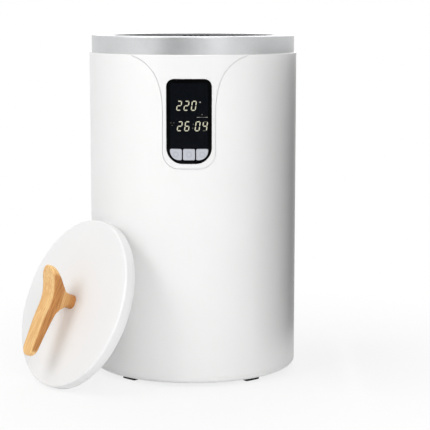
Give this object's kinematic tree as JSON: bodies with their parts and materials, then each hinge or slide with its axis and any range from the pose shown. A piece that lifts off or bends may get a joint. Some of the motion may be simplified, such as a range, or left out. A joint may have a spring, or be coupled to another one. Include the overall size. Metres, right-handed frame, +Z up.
{
  "type": "towel warmer bucket",
  "caption": "Cylindrical electric towel warmer bucket with a curved control panel, silver rim, heated liner and a drop-in lid with a branch-shaped wooden handle, leaning at its side.",
  "frame": {"origin": "on the floor under the middle of the bucket, on the bucket's axis", "axes": "+Z up along the bucket's axis out of its mouth, -Y out of the control panel, +X to the panel's right as it is read"},
  "size_m": [0.4107, 0.394, 0.5037],
  "materials": {
    "white_shell": "satin white moulding",
    "black_rubber": "matte",
    "silicone": "matte silicone",
    "silver_ring": "satin silver",
    "dark_plastic": "matte black",
    "black_window": "high gloss",
    "lit_white": "lit",
    "button_grey": "satin light grey",
    "liner_metal": "brushed",
    "heater_film": "heating film",
    "fibre": "fibre blanket",
    "foam": "foam",
    "sheet_steel": "galvanised",
    "brass_part": "plain",
    "white_plastic": "matte",
    "board_green": "circuit board",
    "relay_blue": "matte",
    "steel_screw": "zinc plated",
    "beech": "oiled light wood"
  },
  "bodies": {
    "bucket": {"outer_shell": "white_shell", "base_cover": "white_shell", "feet": "black_rubber", "base_screws": "steel_screw", "cord_gland": "black_rubber", "gland_nut": "dark_plastic", "fascia": "white_shell", "display_window": "black_window", "control_housing": "dark_plastic", "control_board": "board_green", "control_screws": "steel_screw", "tact_switches": "dark_plastic", "board_parts": "dark_plastic", "digit_module": "dark_plastic", "lit_segments": "lit_white", "rim_ring": "silver_ring", "mouth_collar": "dark_plastic", "liner": "liner_metal", "liner_screws": "steel_screw", "wall_heater": "heater_film", "insulation_sleeve": "fibre", "sensor_strap": "sheet_steel", "strap_screw": "steel_screw", "thermostat": "sheet_steel", "thermal_fuse": "white_plastic", "temperature_probe": "brass_part", "floor_heater": "liner_metal", "floor_insulation": "fibre", "heat_shield": "sheet_steel", "centre_nut": "steel_screw", "power_board": "board_green", "board_screws": "steel_screw", "relay": "relay_blue", "transformer": "dark_plastic", "capacitor": "dark_plastic", "terminal_block": "white_plastic"},
    "lid": {"lid_cap": "white_shell", "lid_base": "white_shell", "lid_gasket": "silicone", "lid_insulation": "foam", "lid_screws": "steel_screw", "handle_washer": "steel_screw", "handle_screw": "steel_screw", "lid_handle": "beech"},
    "left_button": {"button_left": "button_grey"},
    "middle_button": {"button_middle": "button_grey"},
    "right_button": {"button_right": "button_grey"}
  },
  "joints": [
    {"name": "lid_lift", "type": "slide", "parent": "bucket", "child": "lid", "axis": [-0.7281, -0.5709, 0.3795], "range_m": [0, 0.2]},
    {"name": "press_left", "type": "slide", "parent": "bucket", "child": "left_button", "axis": [0, 1, 0], "range_m": [0, 0.0008], "stiffness_N_per_m": 1000, "springref_m": -0.0008},
    {"name": "press_middle", "type": "slide", "parent": "bucket", "child": "middle_button", "axis": [0, 1, 0], "range_m": [0, 0.0008], "stiffness_N_per_m": 1000, "springref_m": -0.0008},
    {"name": "press_right", "type": "slide", "parent": "bucket", "child": "right_button", "axis": [0, 1, 0], "range_m": [0, 0.0008], "stiffness_N_per_m": 1000, "springref_m": -0.0008}
  ]
}
